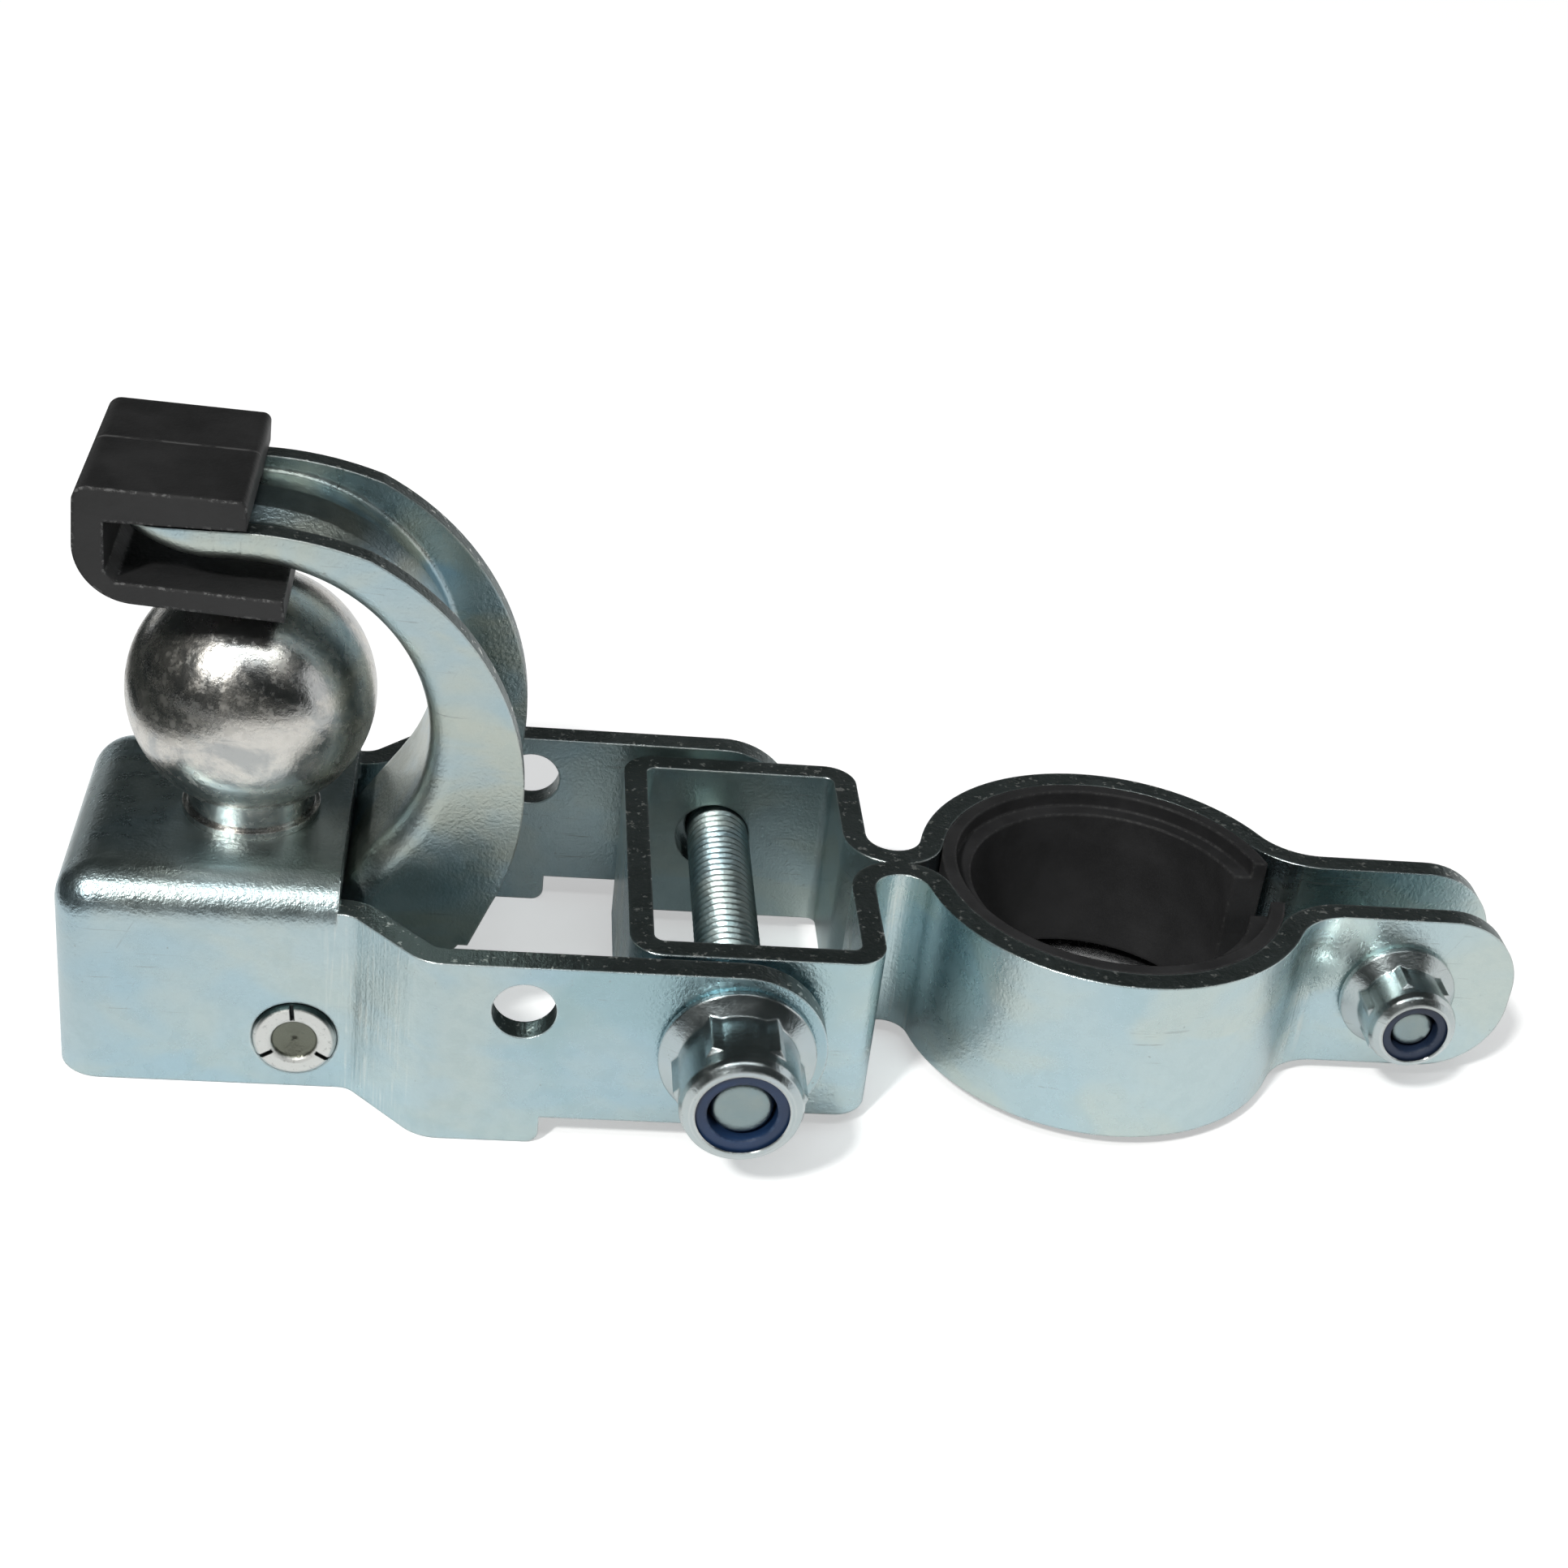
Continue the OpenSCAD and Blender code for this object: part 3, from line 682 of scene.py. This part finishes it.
@dataclass
class ThreadedBolt:
    """A bolt whose drawn shank is replaced by a rolled thread, with the CAD node's own head."""

    node: str
    body: str
    centre: tuple[float, float]
    radius: float
    pitch: float
    depth: float
    head_y: float
    tip_y: float
    sides: int = 36
    rows: int = 6
    steep: float = 1.7
    sunk: float = 0.3
    end_rings: tuple[tuple[float, float], ...] = ((0.9, 0.25 * MM), (0.6, 0.16 * MM), (0.25, 0.02 * MM))

    def build(self, material: bpy.types.Material) -> bpy.types.Object:
        """Builds the head and the threaded shank as one piece.

        Args:
            material: the bolt's finish.

        Returns:
            The new piece, riding on its body.
        """
        shape = bmesh.new()
        shape.from_mesh(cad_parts[self.node].data)
        shank = [face for face in shape.faces if all(self._on_shank(v.co) for v in face.verts)]
        bmesh.ops.delete(shape, geom=shank, context="FACES")
        self._thread(shape)
        bmesh.ops.recalc_face_normals(shape, faces=shape.faces[:])
        mesh = bpy.data.meshes.new(self.node + "_threaded")
        shape.to_mesh(mesh)
        shape.free()
        mesh.materials.append(material)
        piece = bpy.data.objects.new(self.node + "_threaded", mesh)
        bpy.context.scene.collection.objects.link(piece)
        mesh.shade_smooth()
        mesh.set_sharp_from_angle(angle=math.radians(38))
        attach(piece, self.body)
        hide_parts(self.node)
        LOG.info("built %s with %d faces", piece.name, len(mesh.polygons))
        return piece

    def _on_shank(self, point: Vector) -> bool:
        """Tells whether a point lies on the drawn shank."""
        off = math.hypot(point.x - self.centre[0], point.z - self.centre[1])
        return off < self.radius + 0.1 * MM and point.y < self.head_y + 0.05 * MM

    def _thread(self, shape: bmesh.types.BMesh) -> None:
        """Adds the helical thread from the head to the tip.

        Args:
            shape: the mesh to add it to.
        """
        steps = self.sides
        length = self.head_y - self.tip_y
        count = int(length / self.pitch * self.rows)
        rings = []
        for i in range(count + 1):
            ring = []
            for k in range(steps):
                angle = 2 * math.pi * k / steps
                along = length * i / count
                phase = (along / self.pitch + k / steps) % 1.0
                crest = min(1.0, max(0.0, abs(2.0 * phase - 1.0) * self.steep - self.sunk))
                taper = min(1.0, (length - along) / (1.2 * self.pitch))
                radius = self.radius - self.depth * (1.0 - crest * taper)
                ring.append(shape.verts.new((
                    self.centre[0] + radius * math.cos(angle),
                    self.head_y - along,
                    self.centre[1] + radius * math.sin(angle),
                )))
            rings.append(ring)
        for low, high in zip(rings, rings[1:]):
            for k in range(steps):
                shape.faces.new((low[k], low[(k + 1) % steps], high[(k + 1) % steps], high[k]))
        self._tip(shape, rings[-1])

    def _tip(self, shape: bmesh.types.BMesh, rim: list[bmesh.types.BMVert]) -> None:
        """Closes the thread with a chamfer and a slightly dished end.

        Args:
            shape: the mesh to add it to.
            rim: the last ring of the thread.
        """
        steps, last = len(rim), rim
        x, z = self.centre
        for share, proud in self.end_rings:
            ring = []
            for v in rim:
                across, upright = (v.co.x - x) * share, (v.co.z - z) * share
                ring.append(shape.verts.new((x + across, self.tip_y - proud, z + upright)))
            for k in range(steps):
                shape.faces.new((last[k], last[(k + 1) % steps], ring[(k + 1) % steps], ring[k]))
            last = ring
        centre = shape.verts.new((x, self.tip_y, z))
        for k in range(steps):
            shape.faces.new((last[k], last[(k + 1) % steps], centre))


@dataclass
class TorsionSpring:
    """The latch's wound spring: one leg stands by the ball's tail, the other rides with the lever."""

    centre: tuple[float, float] = (-96.4 * MM, -6.1 * MM)
    coil: float = 4.29 * MM
    wire: float = 0.66 * MM
    half_width: float = 4.5 * MM
    turns: float = 6.5
    base_leg: float = 14.6 * MM
    lever_leg: float = 10.4 * MM
    steps_a_turn: int = 24

    def build(self, material: bpy.types.Material) -> bpy.types.Object:
        """Builds the spring.

        Args:
            material: its finish.

        Returns:
            The new piece.
        """
        data = bpy.data.curves.new("latch_spring_path", "CURVE")
        data.dimensions, data.use_fill_caps = "3D", True
        data.bevel_depth, data.bevel_resolution = self.wire, 3
        points = self._path()
        line = data.splines.new("POLY")
        line.points.add(len(points) - 1)
        for point, place in zip(line.points, points):
            point.co = (*place, 1.0)
        path = bpy.data.objects.new("latch_spring_path", data)
        mesh = bpy.data.meshes.new_from_object(path)
        bpy.data.objects.remove(path)
        mesh.shade_smooth()
        mesh.materials.clear()
        mesh.materials.append(material)
        piece = bpy.data.objects.new("latch_spring_wound", mesh)
        bpy.context.scene.collection.objects.link(piece)
        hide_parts("latch_spring")
        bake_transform(piece)
        LOG.info("built %s with %d faces", piece.name, len(mesh.polygons))
        return piece

    def _path(self) -> list[Point]:
        """Gives the wire's centre line: down the base leg, round the coil and up the lever leg.

        Returns:
            The line's points.
        """
        x, z = self.centre
        points = [(x - self.coil, self.half_width, z + self.base_leg * share) for share in (1.0, 0.66, 0.33)]
        steps = int(self.turns * self.steps_a_turn)
        for i in range(steps + 1):
            angle = math.pi + 2 * math.pi * self.turns * i / steps
            y = self.half_width * (1 - 2 * i / steps)
            points.append((x + self.coil * math.cos(angle), y, z + self.coil * math.sin(angle)))
        for share in (0.33, 0.66, 1.0):
            points.append((x + self.coil, -self.half_width, z + self.lever_leg * share))
        return points


@dataclass
class BaseAssembly:
    """The pressed bracket with its ball, crimped pivot rivet, latch spring and tilt fasteners."""

    sheet: PlatedSteel = PlatedSteel(
        "zinc_bracket", cut=Cut.BRACKET, pale=0.08, rough=0.24, grain=0.9, dragged=((-94.5 * MM, -82.0 * MM),)
    )
    ball: TurnedSteel = TurnedSteel("satin_ball", colour=(0.44, 0.45, 0.445), rough=0.17)
    rivet: CrimpedSteel = CrimpedSteel("rivet_crimped")
    fastener: PlatedSteel = PlatedSteel(
        "zinc_fastener", cloud=160.0, tint=0.35, rough=0.17, spread=0.1, grain=0.3
    )
    # The thread's darker colour is painted shade.
    thread: PlatedSteel = PlatedSteel("zinc_thread", cloud=160.0, cream=0.3, dull=0.45, rough=0.3, grain=0.6)
    dull: PlatedSteel = PlatedSteel("dull_spring_steel", tint=0.3, rough=0.38)
    nylon: Moulding = Moulding("blue_nylon", (0.009, 0.027, 0.075), (0.04, 0.08, 0.16), rough=0.3, depth=0.25)

    def build(self) -> tuple[bpy.types.Material, bpy.types.Material]:
        """Dresses the body's nodes, winds its spring and threads its bolt.

        Returns:
            The nuts' and the threads' materials, which the clamp shares.
        """
        fastener, thread = self.fastener.material(), self.thread.material()
        dull = self.dull.material()
        dress("base_bracket", self.sheet.material())
        dress("tow_ball", self.ball.material())
        dress("pivot_rivet", self.rivet.material())
        for node in ("pivot_spacer_near", "pivot_spacer_far"):
            dress(node, dull)
        TorsionSpring().build(dull)
        for node in ("tilt_nut", "tilt_washer_near", "tilt_washer_far"):
            dress(node, fastener)
        dress("tilt_nut_nylon_ring", self.nylon.material())
        ThreadedBolt(
            "tilt_bolt",
            "base",
            centre=(-46.6 * MM, 1.0 * MM),
            radius=3.95 * MM,
            pitch=1.25 * MM,
            depth=0.6 * MM,
            head_y=26.5 * MM,
            tip_y=-36.2 * MM,
        ).build(thread)
        return fastener, thread


@dataclass
class LeverAssembly:
    """The latch lever and its moulded cap."""

    sheet: PlatedSteel = PlatedSteel("zinc_lever", cut=Cut.LEVER, cream=0.75, pale=0.05, rough=0.26)
    cap: Moulding = Moulding(
        "black_cap", (0.012, 0.012, 0.0125), (0.2, 0.2, 0.2), rough=0.5, depth=0.7, seam=True
    )

    def build(self) -> None:
        """Dresses the lever and its cap."""
        dress("latch_lever", self.sheet.material())
        dress("lever_cap", self.cap.material())


@dataclass
class ClampAssembly:
    """The seat-post clamp: strap, rubber liner, bolt and nut."""

    strap: PlatedSteel = PlatedSteel(
        "zinc_strap",
        cut=Cut.STRAP,
        cream=0.5,
        # Most of this pale lift is painted sheen on the ring's front.
        pale=0.26,
        rough=0.23,
        dragged=((-29.5 * MM, -22.5 * MM), (19.5 * MM, 26.5 * MM)),
    )
    liner: Moulding = Moulding(
        "black_rubber", (0.012, 0.012, 0.013), (0.05, 0.05, 0.05), rough=0.6, depth=0.4
    )
    nylon: Moulding = Moulding(
        "navy_nylon", (0.009, 0.018, 0.042), (0.04, 0.055, 0.09), rough=0.35, depth=0.25
    )

    def build(self, fastener: bpy.types.Material, thread: bpy.types.Material) -> None:
        """Dresses the body's nodes and threads its bolt.

        Args:
            fastener: the nut's finish.
            thread: the bolt's finish.
        """
        dress("clamp_strap", self.strap.material())
        dress("rubber_liner", self.liner.material())
        dress("clamp_nut", fastener)
        dress("clamp_nut_nylon_ring", self.nylon.material())
        ThreadedBolt(
            "clamp_bolt",
            "clamp",
            centre=(36.3 * MM, 0.0),
            radius=2.95 * MM,
            pitch=1.0 * MM,
            depth=0.5 * MM,
            head_y=6.8 * MM,
            tip_y=-13.9 * MM,
        ).build(thread)


@dataclass
class Studio:
    """The pale floor, the black cards, the sun, the soft lamp, the sky and the camera."""

    floor_z: float = -12.95 * MM
    # Centre and radii of the painted shade patch on the floor under the bore.
    shade_centre: Point = (1.5 * MM, 9.0 * MM, 0.0)
    shade_from: float = 15.5 * MM
    shade_to: float = 19.5 * MM
    camera_at: Point = (-76.158 * MM, -249.524 * MM, 169.113 * MM)
    right: Point = (0.99127657, -0.07165678, 0.11061675)
    up: Point = (-0.0580557, 0.51607958, 0.85457089)
    ahead: Point = (0.11832285, 0.85353803, -0.50741752)
    lens: float = 57.003
    aim: Point = (-40.0 * MM, 0.0, 10.0 * MM)

    def build(self) -> None:
        """Builds the stage, the lights, the sky and the camera."""
        self._floor()
        self._card("front_card", (0.0, -0.8, 0.44), (1.3, 0.45), (90.0, 0.0, 0.0))
        self._card("top_card", (0.0, 0.15, 0.95), (1.3, 0.95), (0.0, 0.0, 0.0))
        self._card("back_card", (0.0, 1.1, 0.55), (1.3, 0.4), (90.0, 0.0, 0.0))
        self._card("left_card", (-1.2, -0.1, 0.47), (1.1, 0.47), (90.0, 0.0, 90.0))
        self._card("left_mat", (-0.775, 0.45, -0.0125), (0.6, 0.85), (0.0, 0.0, 0.0))
        self._sun(heading=(0.42, 0.56, -0.71), strength=2.2, width=6.0)
        strip_at = (-0.05, -0.36, 0.72)
        self._lamp("strip", strip_at, width=0.7, height=0.14, power=1.5, colour=(0.97, 1.0, 1.0))
        self._sky()
        self._camera()

    def _floor(self) -> None:
        """Builds the floor, white to the camera apart from the object's shadow and painted shade: an
        occlusion mask darkens it in reflections near the object and paints it dark inside the seat post's
        bore.
        """
        shape = bmesh.new()
        bmesh.ops.create_grid(shape, x_segments=1, y_segments=1, size=6.0)
        mesh = bpy.data.meshes.new("floor")
        shape.to_mesh(mesh)
        shape.free()
        floor = bpy.data.objects.new("floor", mesh)
        floor.location = (0.0, 0.0, self.floor_z)
        bpy.context.scene.collection.objects.link(floor)
        material, graph, shader = new_material("pale_floor")
        shader.inputs["Roughness"].default_value = 1.0
        shader.inputs["Specular IOR Level"].default_value = 0.0
        path = graph.add("ShaderNodeLightPath")
        mirrored = graph.math("MAXIMUM", path.outputs["Is Glossy Ray"], path.outputs["Is Transmission Ray"])
        # Painted shade: occlusion darkens the floor's glow in reflections near the object.
        near = graph.add("ShaderNodeAmbientOcclusion", {"Distance": 0.045}, samples=6).outputs["AO"]
        flat = graph.stretch(graph.place().outputs["Object"], (1.0, 1.0, 0.0))
        ends = {0: flat, 1: self.shade_centre}
        off = graph.add("ShaderNodeVectorMath", ends, operation="DISTANCE").outputs["Value"]
        # Painted shade patch: inside this circle under the bore, an occluded floor turns nearly black in
        # colour and in its glow to the camera.
        outside_shade_patch = graph.step(off, self.shade_from, self.shade_to)
        clear_of_painted_shade = graph.math("MAXIMUM", graph.step(near, 0.34, 0.56), outside_shade_patch)
        low = graph.times(graph.times(mirrored, 0.32), graph.step(near, 0.15, 0.8))
        seen = graph.times(graph.times(path.outputs["Is Camera Ray"], 0.45), clear_of_painted_shade)
        colour = graph.blend(clear_of_painted_shade, (0.02, 0.021, 0.022), (0.86, 0.87, 0.88))
        graph.tree.links.new(colour, shader.inputs["Base Color"])
        graph.tree.links.new(graph.plus(low, seen), shader.inputs["Emission Strength"])
        shader.inputs["Emission Color"].default_value = (1.0, 1.0, 1.0, 1.0)
        mesh.materials.append(material)

    def _card(self, name: str, place: Point, half: tuple[float, float], turn: Point) -> None:
        """Hangs a black card that only reflections see, which gives bright metal its contrast.

        Args:
            name: the card's name.
            place: its centre.
            half: half its width and half its height.
            turn: its rotation in degrees.
        """
        mesh = bpy.data.meshes.new(name)
        corners = [(x * half[0], y * half[1], 0.0) for x, y in ((-1, -1), (1, -1), (1, 1), (-1, 1))]
        mesh.from_pydata(corners, [], [(0, 1, 2, 3)])
        card = bpy.data.objects.new(name, mesh)
        card.location = place
        card.rotation_euler = tuple(math.radians(a) for a in turn)
        card.visible_camera = card.visible_shadow = card.visible_diffuse = False
        bpy.context.scene.collection.objects.link(card)
        material, _, shader = new_material(name)
        shader.inputs["Base Color"].default_value = (0.03, 0.034, 0.033, 1.0)
        shader.inputs["Roughness"].default_value = 1.0
        shader.inputs["Specular IOR Level"].default_value = 0.0
        shader.inputs["Emission Color"].default_value = (0.9, 1.0, 0.97, 1.0)
        shader.inputs["Emission Strength"].default_value = 0.012
        mesh.materials.append(material)

    def _sun(self, heading: Point, strength: float, width: float) -> None:
        """Adds the key light, far off, so the floor is lit evenly.

        Args:
            heading: the way its light travels.
            strength: its irradiance.
            width: its apparent width in degrees, for soft shadows.
        """
        light = bpy.data.lights.new("key", "SUN")
        light.energy, light.angle, light.color = strength, math.radians(width), (1.0, 0.985, 0.955)
        lamp = bpy.data.objects.new("key", light)
        lamp.rotation_euler = Vector(heading).to_track_quat("-Z", "Y").to_euler()
        bpy.context.scene.collection.objects.link(lamp)

    def _lamp(
        self, name: str, place: Point, width: float, height: float, power: float, colour: Colour
    ) -> None:
        """Adds a soft lamp that looks at the object.

        Args:
            name: the lamp's name.
            place: where it hangs.
            width: its width.
            height: its height.
            power: its power in watts.
            colour: its colour.
        """
        light = bpy.data.lights.new(name, "AREA")
        light.shape = "RECTANGLE"
        light.size, light.size_y, light.energy, light.color = width, height, power, colour
        lamp = bpy.data.objects.new(name, light)
        lamp.location = place
        aim = Vector(self.aim) - Vector(place)
        lamp.rotation_euler = aim.to_track_quat("-Z", "Y").to_euler()
        bpy.context.scene.collection.objects.link(lamp)

    def _sky(self) -> None:
        """Builds the surroundings: white where the camera and the metal see them, and dim as a light."""
        world = bpy.data.worlds.new("room")
        bpy.context.scene.world = world
        world.use_nodes = True
        graph = Graph(world.node_tree)
        background = world.node_tree.nodes["Background"]
        path = graph.add("ShaderNodeLightPath")
        seen = graph.math("MAXIMUM", path.outputs["Is Camera Ray"], path.outputs["Is Glossy Ray"])
        seen = graph.math("MAXIMUM", seen, path.outputs["Is Transmission Ray"])
        background.inputs["Color"].default_value = (1.0, 1.0, 1.0, 1.0)
        graph.tree.links.new(graph.step(seen, 0.0, 1.0, 0.1, 1.0), background.inputs["Strength"])

    def _camera(self) -> None:
        """Sets the camera to the photograph's place and lens."""
        data = bpy.data.cameras.new("camera")
        data.lens, data.sensor_width, data.clip_start = self.lens, 36.0, 0.01
        camera = bpy.data.objects.new("camera", data)
        back = -Vector(self.ahead)
        turn = Matrix((self.right, self.up, back)).transposed().to_4x4()
        camera.matrix_world = Matrix.Translation(self.camera_at) @ turn
        bpy.context.scene.collection.objects.link(camera)
        bpy.context.scene.camera = camera


def main() -> None:
    """Builds the assemblies in order and sets the view transform."""
    logging.basicConfig(level=logging.INFO, format="%(message)s")
    fastener, thread = BaseAssembly().build()
    LeverAssembly().build()
    ClampAssembly().build(fastener, thread)
    Studio().build()
    bpy.context.scene.view_settings.view_transform = "Standard"


if __name__ == "__main__":
    main()
